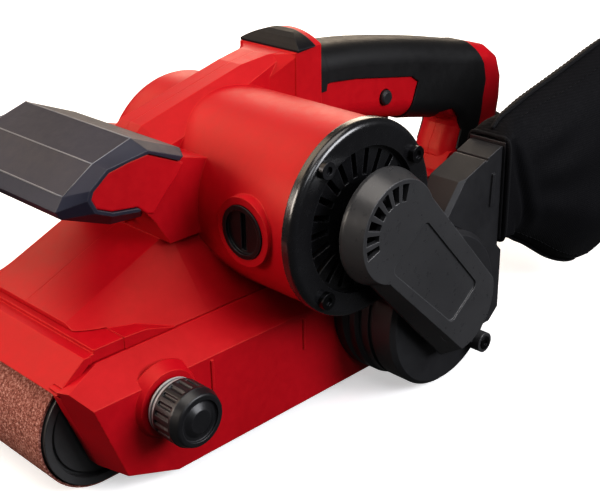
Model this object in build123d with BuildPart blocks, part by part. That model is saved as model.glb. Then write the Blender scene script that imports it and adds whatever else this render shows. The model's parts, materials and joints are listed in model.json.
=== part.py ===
from build123d import *
import os
from math import sin, cos, pi, radians, degrees, atan2, asin, sqrt

os.makedirs("parts", exist_ok=True)

# ---------------------------------------------------------------------------
# Portable belt sander. Millimetres, +Z up, front of the tool towards -X,
# drive side towards -Y, open belt side towards +Y. The origin lies in the flat
# sanding face, in the middle of the belt's width.
# ---------------------------------------------------------------------------

# sanding belt loop, 76 x 457
belt_w = 76.0
belt_t = 0.9
belt_len = 457.0
r_front = 25.0            # belt outer radius over the front roller
r_rear = 27.0             # belt outer radius over the drive drum
xf = -70.2
xr = 78.0
zf = r_front
zr = r_rear

# rollers
roller_r = 23.5
drum_r = 25.75
drum_core_r = 23.5
roller_half = 39.5
drum_half = 39.0

# motor
mx, mz = 21.4, 86.3       # motor axis
barrel_r = 36.0
barrel_left = -76.0
barrel_right = 30.0
wall = 2.8
flange_r = 37.0
shaft_r = 5.0
fit = 0.05                # running clearance of shafts, radial
brush_y = -57.0

# side cover
skirt_y = -57.0
shoulder_y = -46.0
skirt_z = 4.3

# poly-V drive
drive_y0 = -85.0          # inner face of the pulleys
drive_y1 = -95.0          # outer face of the pulleys
pulley_m = 7.5
pulley_c = 11.5
csx, csz = 62.0, 42.0      # countershaft between drive belt and drum gear
cs_r = 4.0

# controls
knob_x, knob_z, knob_r = -54.5, 34.4, 11.0
lever_x, lever_z = -8.0, 25.0
tension_travel = 6.0


def xz(y):
    return Plane.XZ.offset(-y)


def yz(x):
    return Plane.YZ.offset(x)


def prism(points, y_hi, y_lo, mode=Mode.ADD):
    with BuildSketch(xz(y_hi)) as s:
        with BuildLine():
            Polyline(*points, close=True)
        make_face()
    return extrude(s.sketch, amount=y_hi - y_lo, mode=mode)


def soft_prism(points, radius, y_hi, y_lo, mode=Mode.ADD):
    with BuildSketch(xz(y_hi)) as s:
        with BuildLine():
            Polyline(*points, close=True)
        make_face()
        fillet(s.vertices(), radius)
    return extrude(s.sketch, amount=y_hi - y_lo, mode=mode)


def inset_prism(points, amount, y_hi, y_lo, mode=Mode.ADD):
    with BuildSketch(xz(y_hi)) as s:
        with BuildLine():
            Polyline(*points, close=True)
        make_face()
        offset(amount=amount, kind=Kind.INTERSECTION, mode=Mode.REPLACE)
    return extrude(s.sketch, amount=y_hi - y_lo, mode=mode)


def disc(x, z, r, y_hi, y_lo, mode=Mode.ADD):
    with BuildSketch(xz(y_hi)) as s:
        with Locations((x, z)):
            Circle(r)
    return extrude(s.sketch, amount=y_hi - y_lo, mode=mode)


def rod_x(y, z, r, x_lo, x_hi, mode=Mode.ADD):
    with BuildSketch(yz(x_lo)) as s:
        with Locations((y, z)):
            Circle(r)
    return extrude(s.sketch, amount=x_hi - x_lo, mode=mode)


def rod_z(x, y, r, z_lo, z_hi, mode=Mode.ADD):
    with BuildSketch(Plane.XY.offset(z_lo)) as s:
        with Locations((x, y)):
            Circle(r)
    return extrude(s.sketch, amount=z_hi - z_lo, mode=mode)


def block(x0, x1, y0, y1, z0, z1, mode=Mode.ADD):
    with BuildSketch(Plane.XY.offset(z0)) as s:
        with Locations(((x0 + x1) / 2, (y0 + y1) / 2)):
            Rectangle(x1 - x0, y1 - y0)
    return extrude(s.sketch, amount=z1 - z0, mode=mode)


phi = atan2(zr - zf, xr - xf)
lean = asin((r_rear - r_front) / sqrt((xr - xf) ** 2 + (zr - zf) ** 2))


def on_circle(cx, cz, r, a):
    return (cx + r * cos(a), cz + r * sin(a))


def loop_prism(grow, y_hi, y_lo, mode=Mode.ADD):
    a_up = phi + pi / 2 + lean
    a_lo = phi - pi / 2 - lean
    rf_, rr_ = r_front + grow, r_rear + grow
    with BuildSketch(xz(y_hi)) as s:
        with BuildLine():
            Line(on_circle(xf, zf, rf_, a_lo), on_circle(xr, zr, rr_, a_lo))
            ThreePointArc(on_circle(xr, zr, rr_, a_lo), on_circle(xr, zr, rr_, phi),
                          on_circle(xr, zr, rr_, a_up))
            Line(on_circle(xr, zr, rr_, a_up), on_circle(xf, zf, rf_, a_up))
            ThreePointArc(on_circle(xf, zf, rf_, a_up), on_circle(xf, zf, rf_, phi + pi),
                          on_circle(xf, zf, rf_, a_lo))
        make_face()
    return extrude(s.sketch, amount=y_hi - y_lo, mode=mode)


def keep(piece, name):
    piece.part.label = name
    export_step(piece.part, "parts/" + name + ".step")


# ---------------------------------------------------------------------------
# sanding belt
# ---------------------------------------------------------------------------
with BuildPart() as sanding_belt:
    loop_prism(0, belt_w / 2, -belt_w / 2)
    loop_prism(-belt_t, belt_w / 2, -belt_w / 2, Mode.SUBTRACT)
keep(sanding_belt, "sanding_belt")

# ---------------------------------------------------------------------------
# drive drum on its shaft
# ---------------------------------------------------------------------------
with BuildPart() as drive_drum:
    disc(xr, zr, drum_core_r, drum_half, -drum_half)
    disc(xr, zr, 18.0, 16, -drum_half, Mode.SUBTRACT)
    disc(xr, zr, 18.5, drum_half, 28, Mode.SUBTRACT)
    disc(xr, zr, shaft_r, 30, 10, Mode.SUBTRACT)
    for k in range(6):
        a = radians(60 * k)
        disc(xr + 12.6 * cos(a), zr + 12.6 * sin(a), 2.8, 30, 10, Mode.SUBTRACT)
keep(drive_drum, "drive_drum")

with BuildPart() as drum_sleeve:
    disc(xr, zr, drum_r, drum_half, -drum_half)
    for yg in (-26, -13, 0, 13, 26):
        disc(xr, zr, drum_r + 1, yg + 0.9, yg - 0.9, Mode.SUBTRACT)
        disc(xr, zr, drum_r - 0.8, yg + 0.9, yg - 0.9)
    disc(xr, zr, drum_core_r, drum_half, -drum_half, Mode.SUBTRACT)
keep(drum_sleeve, "drum_sleeve")

with BuildPart() as drum_shaft:
    disc(xr, zr, shaft_r, 34, -75.5)
    disc(xr, zr, 7.0, 16, 13.0)
keep(drum_shaft, "drum_shaft")

with BuildPart() as drum_nut:
    with BuildSketch(xz(35)) as s_nut:
        with Locations((xr, zr)):
            RegularPolygon(8.5, 6)
            Circle(shaft_r, mode=Mode.SUBTRACT)
    extrude(s_nut.sketch, amount=7)
keep(drum_nut, "drum_nut")

with BuildPart() as drum_bearings:
    for y in (-49.0, 11.0):
        disc(xr, zr, 13, y, y - 8)
        disc(xr, zr, shaft_r + fit, y, y - 8, Mode.SUBTRACT)
keep(drum_bearings, "drum_bearings")

# spur gear on the drum shaft, driven by a pinion on the countershaft
gear_module = sqrt((xr - csx) ** 2 + (zr - csz) ** 2) * 2 / 36
mesh_a = atan2(zr - csz, xr - csx)


def tooth_ring(cx, cz, teeth, phase):
    r = teeth * gear_module / 2
    base, tip, root = r * cos(radians(20)), r + 0.75 * gear_module, r - 1.1 * gear_module
    half = (pi * gear_module / 2 - 0.25) / (2 * r)
    inv = lambda al: sin(al) / cos(al) - al
    ring = []
    for t in range(teeth):
        c = phase + 2 * pi * t / teeth
        flank = []
        for rho in (root, base + 0.001, base + (tip - base) * 0.3, base + (tip - base) * 0.65, tip):
            ca = min(1.0, base / max(rho, base))
            al = atan2(sqrt(1 - ca * ca), ca)
            flank.append((rho, half + inv(radians(20)) - inv(al)))
        for rho, w in flank:
            ring.append(on_circle(cx, cz, rho, c - w))
        for rho, w in reversed(flank):
            ring.append(on_circle(cx, cz, rho, c + w))
    return ring


with BuildPart() as drum_gear:
    prism(tooth_ring(xr, zr, 24, mesh_a + pi + pi / 24), -64, -73)
    disc(xr, zr, shaft_r, -60, -80, Mode.SUBTRACT)
keep(drum_gear, "drum_gear")

with BuildPart() as pinion_shaft:
    prism(tooth_ring(csx, csz, 12, mesh_a), -63, -74)
    disc(csx, csz, cs_r, -57.6, drive_y1 + 0.5)
keep(pinion_shaft, "pinion_shaft")

with BuildPart() as counter_bearings:
    for y_hi, y_lo in ((-57.2, -60.8), (-79.8, -83.8)):
        disc(csx, csz, 6.5, y_hi, y_lo)
        disc(csx, csz, cs_r + fit, y_hi, y_lo, Mode.SUBTRACT)
keep(counter_bearings, "counter_bearings")

with BuildPart() as counter_pulley:
    disc(csx, csz, pulley_c, drive_y0, drive_y1)
    disc(csx, csz, 8.5, drive_y1 + 3, drive_y1, Mode.SUBTRACT)
    disc(csx, csz, cs_r, drive_y0, drive_y1, Mode.SUBTRACT)
keep(counter_pulley, "counter_pulley")

# ---------------------------------------------------------------------------
# front roller, its axle and the steering yoke
# ---------------------------------------------------------------------------
with BuildPart() as front_roller:
    disc(xf, zf, roller_r, roller_half, -roller_half)
    for side in (1, -1):
        y_a, y_b = (roller_half, roller_half - 2.5) if side > 0 else (-roller_half + 2.5, -roller_half)
        disc(xf, zf, 20.5, y_a, y_b, Mode.SUBTRACT)
        disc(xf, zf, 19.0, y_a, y_b)
        y_c, y_d = (roller_half, roller_half - 1.2) if side > 0 else (-roller_half + 1.2, -roller_half)
        disc(xf, zf, 19.2, y_c, y_d, Mode.SUBTRACT)
    disc(xf, zf, 7.5, roller_half + 1, -roller_half - 1, Mode.SUBTRACT)
keep(front_roller, "front_roller")

with BuildPart() as roller_bushes:
    for y in (36.0, -24.0):
        disc(xf, zf, 7.5, y, y - 12)
        disc(xf, zf, 4 + fit, y, y - 12, Mode.SUBTRACT)
keep(roller_bushes, "roller_bushes")

with BuildPart() as roller_axle:
    disc(xf, zf, 4.0, 46, -46)
keep(roller_axle, "roller_axle")

with BuildPart() as roller_yoke:
    prism([(-75.6, 18.6), (-75.6, 32), (-60, 42.5), (-47, 42.5), (-36, 36), (-36, 14), (-44, 14)], -41, -45)
    prism([(-75.6, 18.6), (-75.6, 32), (-44, 36), (-36, 36), (-36, 14), (-44, 14)], 45, 41)
    block(-42, -36, -45, 45, 14, 36)
    disc(xf, zf, 4.0, 50, -50, Mode.SUBTRACT)
    rod_z(-39, 0, 2.05, 10, 40, Mode.SUBTRACT)
keep(roller_yoke, "roller_yoke")

with BuildPart() as yoke_pivot:
    rod_z(-39, 0, 2.0, 10.5, 39.5)
keep(yoke_pivot, "yoke_pivot")

with BuildPart() as tension_slider:
    block(-35.7, -6, -9, 9, 18, 32)
    block(-35.7, -30, -8, 8, 10.5, 39.5)
    block(-42.5, -30, -8, 8, 10.5, 13.6)
    block(-42.5, -30, -8, 8, 36.4, 39.5)
    rod_x(0, 25, 7.2, -16, -5, Mode.SUBTRACT)
    rod_z(-39, 0, 2.0, 10, 40, Mode.SUBTRACT)
keep(tension_slider, "tension_slider")

with BuildPart() as tension_spring:
    with BuildLine() as coil_path:
        Helix(pitch=4.2, height=32.6, radius=5.0, center=(-14.6, 0, 25), direction=(1, 0, 0))
    with BuildSketch(Plane(origin=coil_path.line @ 0, z_dir=coil_path.line % 0)) as coil_wire:
        Circle(0.8)
    sweep()
keep(tension_spring, "tension_spring")

with BuildPart() as tension_lever:
    disc(lever_x, lever_z, 9, 45, 39.2)
    soft_prism([(lever_x, 19.5), (30, 20.5), (33, 22.5), (33, 27.5), (30, 29.5), (lever_x, 30.5)], 1.6, 44, 39.2)
    prism([(24, 20.5), (30, 20.5), (33, 22.5), (33, 27.5), (30, 29.5), (24, 29.5)], 46.5, 44)
    disc(lever_x, lever_z, 4.0, 40, 24)
    disc(lever_x, lever_z, 6.0, 46.2, 44.5)
keep(tension_lever, "tension_lever")

# ---------------------------------------------------------------------------
# cast chassis inside the belt loop, sole plate and pad
# ---------------------------------------------------------------------------
screw_xy = [(-14, -28), (-14, 28), (26, -28), (26, 28)]
with BuildPart() as base_frame:
    block(-22, 42, -41.0, 37, 5.4, 44)
    prism([(-22, 9), (93, 9), (93, 48), (-22, 48)], -41.0, -46)
    disc(xr, zr, 16.5, 12, skirt_y)
    block(-23, 20, -9.5, 9.5, 17.5, 32.5, Mode.SUBTRACT)
    block(-15, 36, -38, -13, 10, 38, Mode.SUBTRACT)
    block(4, 36, 13, 31, 10, 38, Mode.SUBTRACT)
    disc(xr, zr, 13, 12, 3, Mode.SUBTRACT)
    disc(xr, zr, 13, -49, -58, Mode.SUBTRACT)
    disc(xr, zr, 9, 12, -58, Mode.SUBTRACT)
    disc(lever_x, lever_z, 4.05, 38, 20, Mode.SUBTRACT)
    for sx, sy in screw_xy:
        rod_z(sx, sy, 2.0, 5, 12, Mode.SUBTRACT)
keep(base_frame, "base_frame")

with BuildPart() as sole_plate:
    block(-46, 58, -37, 37, 2.9, 5.4)
    chamfer(sole_plate.edges().filter_by(Axis.Y).sort_by(Axis.Z)[:2], 0.8)
    for sx, sy in screw_xy:
        rod_z(sx, sy, 2.0, 2.5, 6, Mode.SUBTRACT)
        rod_z(sx, sy, 4.0, 2.5, 4.2, Mode.SUBTRACT)
keep(sole_plate, "sole_plate")

with BuildPart() as sole_pad:
    block(-45, 57, -37, 37, 1.25, 2.9)
keep(sole_pad, "sole_pad")

with BuildPart() as sole_screws:
    for sx, sy in screw_xy:
        rod_z(sx, sy, 4.0, 2.95, 4.2)
        rod_z(sx, sy, 2.0, 4.0, 11.5)
keep(sole_screws, "sole_screws")

# ---------------------------------------------------------------------------
# nose guard above the front roller
# ---------------------------------------------------------------------------
with BuildPart() as nose_guard:
    prism([(-90.8, 47.7), (-78.7, 56.8), (-74.4, 56.8), (-74.4, 58.2), (-62, 58.2), (-62, 54.4),
           (-77.4, 53.8), (-88.9, 45.6)], 44, -41.0)
    prism([(-90.8, 47.7), (-78.7, 56.8), (-76.0, 56.8), (-76.0, 53.8), (-77.4, 53.8), (-88.9, 45.6)],
          -41.0, -46)
    prism([(-76.0, 53.8), (-76.0, 56.8), (-74.4, 56.8), (-74.4, 58.2), (-62, 58.2), (-62, 53.8)], -41.0, -45.4)
keep(nose_guard, "nose_guard")

# ---------------------------------------------------------------------------
# side cover over the steering gear, with the tracking boss
# ---------------------------------------------------------------------------
face_in = [(-90.5, 49), (-77.7, 14.2), (-51.0, skirt_z), (97, skirt_z), (100, 16), (100, 53.4), (-74, 53.4)]


def inset(points, d):
    out = []
    n = len(points)
    area = sum(points[i][0] * points[(i + 1) % n][1] - points[(i + 1) % n][0] * points[i][1] for i in range(n))
    s = 1 if area > 0 else -1
    for i in range(n):
        p0, p1, p2 = points[i - 1], points[i], points[(i + 1) % n]
        d1 = (p1[0] - p0[0], p1[1] - p0[1])
        d2 = (p2[0] - p1[0], p2[1] - p1[1])
        l1, l2 = sqrt(d1[0] ** 2 + d1[1] ** 2), sqrt(d2[0] ** 2 + d2[1] ** 2)
        n1 = (-d1[1] / l1 * s, d1[0] / l1 * s)
        n2 = (-d2[1] / l2 * s, d2[0] / l2 * s)
        k = 1 + n1[0] * n2[0] + n1[1] * n2[1]
        out.append((p1[0] + d * (n1[0] + n2[0]) / k, p1[1] + d * (n1[1] + n2[1]) / k))
    return out


def tri_plane(p0, p1, p2, d):
    u = Vector(*p1) - Vector(*p0)
    v = Vector(*p2) - Vector(*p0)
    n = u.cross(v).normalized()
    return Plane(origin=Vector(*p0) - n * d, z_dir=n)


def cover_solid(d):
    prism(inset(face_in, d) if d else face_in, -41.2, skirt_y + d)
    split(bisect_by=tri_plane((0, -46, 53.4), (0, -57, 43.4), (10, -46, 53.4), d), keep=Keep.BOTTOM)
    split(bisect_by=tri_plane((-90.5, -46, 49), (-77.7, -46, 14.2), (-81.5, -57, 36), d), keep=Keep.BOTTOM)


with BuildPart() as cover_void:
    cover_solid(2.6)

with BuildPart() as side_cover:
    cover_solid(0)
    add(cover_void.part, mode=Mode.SUBTRACT)
    add(nose_guard.part, mode=Mode.SUBTRACT)
    # conical tracking boss
    with BuildSketch(xz(-46.5)) as b0:
        with Locations((knob_x, knob_z)):
            Circle(7.0)
    extrude(b0.sketch, amount=10)
    with BuildSketch(xz(-54.5)) as b1:
        with Locations((knob_x, knob_z)):
            Circle(15.0)
    with BuildSketch(xz(-59.0)) as b2:
        with Locations((knob_x, knob_z)):
            Circle(12.4)
    loft([b1.sketch, b2.sketch])
    disc(knob_x, knob_z, 5.0, -46, -60, Mode.SUBTRACT)
    # passage for the drum bearing boss
    disc(xr, zr, 17.0, -50, -60, Mode.SUBTRACT)
    # two slim ribs moulded on the face
    prism([(-33.8, 30), (-32.6, 30), (-32.6, 42), (-33.8, 42)], -56.5, -57.5)
    prism([(12.7, 28), (13.9, 28), (13.9, 41), (12.7, 41)], -56.5, -57.5)
keep(side_cover, "side_cover")

with BuildPart() as tracking_bush:
    disc(knob_x, knob_z, 5.0, -46.5, -58.8)
    disc(knob_x, knob_z, 3.0 + fit, -46, -60, Mode.SUBTRACT)
keep(tracking_bush, "tracking_bush")

with BuildPart() as tracking_screw:
    disc(knob_x, knob_z, 3.0, -45.8, -72)
keep(tracking_screw, "tracking_screw")

with BuildPart() as tracking_knob:
    disc(knob_x, knob_z, 9.8, -59.4, -63)
    disc(knob_x, knob_z, 10.4, -60.2, -61.1)
    disc(knob_x, knob_z, 10.4, -61.9, -62.8)
    disc(knob_x, knob_z, 10.0, -62.8, -63.6)
    disc(knob_x, knob_z, knob_r, -63.4, -72.4)
    for k in range(20):
        a = radians(18 * k)
        disc(knob_x + (knob_r + 0.25) * cos(a), knob_z + (knob_r + 0.25) * sin(a), 0.95, -64.2, -71.2, Mode.SUBTRACT)
    with BuildSketch(xz(-72.4)) as k0:
        with Locations((knob_x, knob_z)):
            Circle(10.9)
    with BuildSketch(xz(-75.6)) as k1:
        with Locations((knob_x, knob_z)):
            Circle(9.7)
    loft([k0.sketch, k1.sketch])
    fillet(tracking_knob.edges().filter_by(GeomType.CIRCLE).sort_by(Axis.Y)[:1], 1.0)
    # dished face with a low dome in the middle
    disc(knob_x, knob_z, 7.8, -74.6, -76, Mode.SUBTRACT)
    with BuildSketch(xz(-74.4)) as k2:
        with Locations((knob_x, knob_z)):
            Circle(6.9)
    with BuildSketch(xz(-75.9)) as k3:
        with Locations((knob_x, knob_z)):
            Circle(4.2)
    loft([k2.sketch, k3.sketch])
    disc(knob_x, knob_z, 3.0, -59, -72, Mode.SUBTRACT)
keep(tracking_knob, "tracking_knob")

# ---------------------------------------------------------------------------
# main housing: belt hood, motor barrel, neck, D handle, front handle core
# ---------------------------------------------------------------------------
hood_sections = [
    # x, top z, top half width, bottom z left, bottom half width left, right
    (-71.6, 60.0, 25.0, 53.0, 45.6, 41.5),
    (-24.0, 80.0, 25.0, 53.0, 45.6, 41.5),
    (60.0, 84.0, 25.0, 53.0, 45.6, 41.5),
    (112.0, 64.0, 25.0, 53.0, 45.6, 41.5),
]


def hood_loft(grow, x_shift, mode=Mode.ADD):
    faces = []
    for i, (x, zt, wt, zb, wl, wr) in enumerate(hood_sections):
        xx = x + (x_shift if i == 0 else (-x_shift if i == len(hood_sections) - 1 else 0))
        with BuildSketch(yz(xx)) as s:
            with BuildLine():
                Polyline((-wl + grow, zb - (4 if grow else 0)), (-wt + grow * 0.6, zt - grow),
                         (wt - grow * 0.6, zt - grow), (wr - grow, zb - (4 if grow else 0)), close=True)
            make_face()
        faces.append(s.sketch)
    return loft(faces, ruled=True, mode=mode)


neck_pts = [(-36, 84), (-36, 101), (-19, 115.2), (31, 128.2), (44, 130.0), (58, 130.0), (58, 96), (40, 80)]
# rear handle: centre line of the bar, its heading and its height
bar_rows = [(70.0, 110.5, -7, 34.2), (92.0, 108.6, -9, 34.2), (117.0, 104.35, -11, 35.2),
            (143.0, 99.3, -13, 35.4), (164.0, 94.2, -21, 36.6), (180.0, 88.5, -56, 45.0), (182.2, 73.0, -95, 38.0),
            (177.5, 60.0, -109, 36.6), (166.0, 46.5, -142, 29.0)]
bar_half = 12.5
low_bar = [(172, 60), (182, 48), (173, 37.5), (163, 36.5), (108, 48), (96, 60), (66, 84), (92, 80), (108, 66), (140, 52),
           (152, 52.5), (160, 60)]
collar_pts = [(51.5, 84), (51.5, 130.4), (62.2, 131.4), (62.2, 140), (66, 140), (66, 84)]
lip_pts = [(66, 110.6), (66, 142), (70.6, 142), (71.6, 117), (70.4, 110.6)]
core_pts = [(-2, 104), (-22, 109.6), (-42.4, 117.4), (-57.0, 113.4), (-66.4, 107.2), (-70.6, 103.9), (-69.8, 102.4),
            (-53.2, 97.0), (-40.6, 96.0), (-34, 88), (-28, 78), (0, 78)]
cheek_pts = [(-28.0, 111.6), (-40.0, 117.0), (-48.5, 116.2), (-56.8, 114.7), (-63.5, 109.8), (-64.6, 107.4), (-62.6, 103.2),
             (-56.4, 100.4), (-45.9, 98.9), (-42.0, 95.4), (-39.0, 94.4), (-32.6, 101.0), (-27.0, 106.0), (-24.6, 109.6)]
front_pts = [(-22, 113.3), (-42.9, 122.0), (-59.0, 117.0), (-71.7, 108.9), (-75.0, 104.3), (-73.2, 101.3), (-54, 93.8),
             (-41, 92.8), (-38.6, 96)]
front_end = [(-25.4, 112.4), (-40.4, 118.3), (-57.5, 116.0), (-64.8, 110.6), (-66.2, 107.4), (-63.6, 102.2), (-56.9, 99.2),
             (-46.0, 97.6), (-43.6, 99.4)]
front_half, front_tip = 32.0, 38.0
grip_pts = [(67, 112.6), (67, 142), (172, 142), (176.5, 109.6), (182, 100), (184, 92),
            (182.4, 84), (181.4, 75), (177, 62), (172, 56), (164, 61), (167.5, 70), (165.5, 77), (159, 83), (151, 82.5), (147, 70),
            (124.4, 70), (127.4, 87.6), (132.6, 101.6), (128, 104.8), (91, 111.4), (75.6, 113.0)]
pad_pts = [(52.4, 130.5), (52.4, 131.4), (53.8, 133.0), (56.2, 134.7), (59.2, 136.0), (62.2, 136.6), (62.2, 131.4)]
lock_x, lock_z = 110.3, 98.8
bag_y = -66.0


def eased(rows, steps):
    # rows in between, along a smooth curve through the given ones
    out = []
    for i in range(len(rows) - 1):
        r0, r1, r2, r3 = rows[max(i - 1, 0)], rows[i], rows[i + 1], rows[min(i + 2, len(rows) - 1)]
        for k in range(steps):
            t = k / steps
            out.append(tuple(0.5 * (2 * b + (c - a) * t + (2 * a - 5 * b + 4 * c - d) * t * t
                                    + (3 * b - a - 3 * c + d) * t ** 3) for a, b, c, d in zip(r0, r1, r2, r3)))
    return out + [rows[-1]]


bar_fine = eased(bar_rows, 3)


def bar(grow, mode=Mode.ADD):
    faces = []
    for x, z, a, h in bar_fine:
        across = Plane(origin=(x, 0, z), x_dir=(0, 1, 0), z_dir=(cos(radians(a)), 0, sin(radians(a))))
        with BuildSketch(across) as s:
            RectangleRounded(2 * (bar_half + grow), h + 2 * grow, 9.0 + grow)
        faces.append(s.sketch)
    return loft(faces, ruled=True, mode=mode)


def straight_bar(grow):
    a = radians(-7)
    across = Plane(origin=(72 - 30 * cos(a), 0, 110.5 - 30 * sin(a)), x_dir=(0, 1, 0), z_dir=(cos(a), 0, sin(a)))
    with BuildSketch(across) as s:
        RectangleRounded(2 * (bar_half + grow), 34.2 + 2 * grow, 9.0 + grow)
    return extrude(s.sketch, amount=60)


# soft overmould on the rear handle, with a lip behind the collar
with BuildPart() as grip_lip:
    straight_bar(2.6)
    prism(lip_pts, 30, -30, Mode.INTERSECT)

with BuildPart() as bar_core:
    bar(-2.0)

with BuildPart() as rear_grip:
    bar(0.8)
    prism(grip_pts, 30, -30, Mode.INTERSECT)
    add(grip_lip.part)
    add(bar_core.part, mode=Mode.SUBTRACT)
keep(rear_grip, "rear_grip")



def collar_section(x_lo, x_hi, grow):
    # upright sides under an arched top
    w, low, side, crest = 16.4 + grow, 87.8 - grow, 131.6, 136.2 + grow
    with BuildSketch(yz(x_lo)) as s:
        with BuildLine():
            Polyline((-w, side), (-w, low), (w, low), (w, side))
            ThreePointArc((w, side), (0, crest), (-w, side))
        make_face()
    return extrude(s.sketch, amount=x_hi - x_lo)


# curved thumb rest let into the front of the collar
with BuildPart() as thumb_pad:
    collar_section(50, 64, 0.7)
    prism(pad_pts, 30, -30, Mode.INTERSECT)
keep(thumb_pad, "thumb_pad")

# red core of the front handle with its end cheeks
with BuildPart() as handle_body:
    prism(core_pts, 31.0, -31.0)
    prism(cheek_pts, 37.2, -37.2)
    fillet([e for e in handle_body.edges() if abs(abs(e.center().Y) - 37.2) < 0.01], 0.8)


def handle_end(y, points):
    with BuildSketch(xz(y)) as s:
        with BuildLine():
            Polyline(*points, close=True)
        make_face()
    return s.sketch


with BuildPart() as front_grip:
    prism(front_pts, front_half, -front_half)
    for side in (1, -1):
        loft([handle_end(side * front_half, front_pts), handle_end(side * front_tip, front_end)], ruled=True)
    add(handle_body.part, mode=Mode.SUBTRACT)
    prism(cheek_pts, 40.0, 36.2, Mode.SUBTRACT)
    prism(cheek_pts, -36.2, -40.0, Mode.SUBTRACT)
keep(front_grip, "front_grip")

with BuildPart() as neck_body:
    prism(neck_pts, 15, -15)
    ridge = [e for e in neck_body.edges()
             if abs(abs(e.center().Y) - 15) < 0.1 and e.center().Z > 106 and -30 < e.center().X < 36
             and abs(e.tangent_at(0.5).Y) < 0.1]
    chamfer(ridge, 8.5)
    # the neck narrows towards the handle
    split(bisect_by=tri_plane((-10, -15.2, 100), (42, -11.4, 100), (-10, -15.2, 120), 0), keep=Keep.BOTTOM)
    split(bisect_by=tri_plane((42, 11.4, 100), (-10, 15.2, 100), (42, 11.4, 120), 0), keep=Keep.BOTTOM)

with BuildPart() as collar:
    collar_section(50, 67, 0)
    prism(collar_pts, 30, -30, Mode.INTERSECT)

# flare from the neck out to the collar
flare_0 = [(-10.9, 98), (10.9, 98), (10.9, 120.9), (3.0, 129.2), (-3.0, 129.2), (-10.9, 120.9)]
flare_1 = [(-16.3, 94), (16.3, 94), (16.3, 129.0), (15.0, 130.2), (-15.0, 130.2), (-16.3, 129.0)]
with BuildPart() as flare:
    flare_faces = []
    for x, outline in ((40.5, flare_0), (52.0, flare_1)):
        with BuildSketch(yz(x)) as f0:
            with BuildLine():
                Polyline(*outline, close=True)
            make_face()
        flare_faces.append(f0.sketch)
    loft(flare_faces, ruled=True)

# red bar between the collar and the bend of the handle
with BuildPart() as link:
    straight_bar(-0.3)
    prism([(60, 84), (60, 142), (76, 142), (76, 84)], 30, -30, Mode.INTERSECT)

with BuildPart() as d_body:
    prism(low_bar, 11.6, -11.6)
    bar(0)

shroud_screws = [(106.6, 48.5), (98.0, 60.5)]
neck_screws = [(60, 104.0), (80, 99.0)]

with BuildPart() as shell:
    hood_loft(0, 0)
    # shelf along the foot of the hood, running out towards the motor
    prism([(-61.8, 53.3), (-61.8, 58.2), (-52, 57.6), (-38, 53.3)], -30, -45.4)
    # rear dust shroud behind the drum
    prism([(84, 14), (112, 14), (112, 62), (84, 72)], 41.5, -45.6)
    disc(mx, mz, barrel_r, barrel_right, barrel_left)
    rim = shell.edges().filter_by(GeomType.CIRCLE).sort_by(Axis.Y)[-1:]
    fillet(rim, 9)
    # brush bosses fore and aft, and the ridge over the brush box
    rod_x(brush_y, mz, 13.0, mx - 37.6, mx + 37.6)
    prism([(-13, 96), (-9, 105), (4, 112), (10, 100)], -18, -64)
    add(neck_body.part)
    add(d_body.part)
    add(link.part)
    add(collar.part)
    add(flare.part)
    add(handle_body.part)
    # motor space and the seat of the far bearing
    disc(mx, mz, 32.6, -41.6, barrel_left - 1, Mode.SUBTRACT)
    disc(mx, mz, 29.4, barrel_right - 3, barrel_left - 1, Mode.SUBTRACT)
    disc(mx, mz, 13.6, barrel_right - 2.5, 19.4)
    disc(mx, mz, 11.0, barrel_right - 3, 19.0, Mode.SUBTRACT)
    # tunnel for the belt, open on the right and underneath
    loop_prism(3.2, 60, -41.2, Mode.SUBTRACT)
    block(-60, 104, -41.2, 60, -5, 40, Mode.SUBTRACT)
    # hollow of the hood between belt and barrel
    prism([(-58, 59.5), (-24, 74), (-12, 74), (-12, 62)], 22, -22, Mode.SUBTRACT)
    # hollow of the front handle
    inset_prism(core_pts, -4.0, 25, -25, Mode.SUBTRACT)
    # hollow of the rear handle for switch and wires
    prism([(50, 126), (70, 124), (80, 120), (117, 115.4), (150, 108.0), (178, 98), (174, 88), (168, 84), (150, 92),
           (110, 97.0), (76, 106), (50, 118)], 8.4, -8.4, Mode.SUBTRACT)
    prism([(168, 96), (183, 92), (192, 84), (192, 70), (188.5, 57), (181, 51), (168, 47.5), (166, 53), (170, 62),
           (172, 80)], 8.4, -8.4, Mode.SUBTRACT)
    # brush caps and holders
    rod_x(brush_y, mz, 10.1, mx - 39, mx - 33.4, Mode.SUBTRACT)
    rod_x(brush_y, mz, 10.1, mx + 33.4, mx + 39, Mode.SUBTRACT)
    rod_x(brush_y, mz, 8.0, mx - 36, mx + 36, Mode.SUBTRACT)
    # trigger slot, lock button hole, cord gland seat
    block(92.4, 121.8, -6.8, 6.8, 76, 101, Mode.SUBTRACT)
    disc(lock_x, lock_z, 3.75, -5, -20, Mode.SUBTRACT)
    rod_x(0, 60, 8.0, 183, 230, Mode.SUBTRACT)
    # dust window to the duct
    block(103.5, 110.0, -50, -40, 20, 46, Mode.SUBTRACT)
    # seats of the soft parts and the side cover
    add(rear_grip.part, mode=Mode.SUBTRACT)
    add(front_grip.part, mode=Mode.SUBTRACT)
    add(thumb_pad.part, mode=Mode.SUBTRACT)
    prism([(-95, -5), (100.4, -5), (100.4, 53.6), (-95, 53.6)], -41.2, -60, Mode.SUBTRACT)
    # nose guard tongue
    prism([(-80, 40), (-80, 58.4), (-61.8, 58.4), (-61.8, 40)], 60, -60, Mode.SUBTRACT)
    # screw holes from the right
    for hx, hz in neck_screws:
        disc(hx, hz, 3.5, 20, 8.6, Mode.SUBTRACT)
        disc(hx, hz, 1.75, 12, -9, Mode.SUBTRACT)
    for hx, hz in shroud_screws:
        disc(hx, hz, 2.9, 45, 38.0, Mode.SUBTRACT)
        disc(hx, hz, 1.75, 39, -12, Mode.SUBTRACT)

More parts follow.
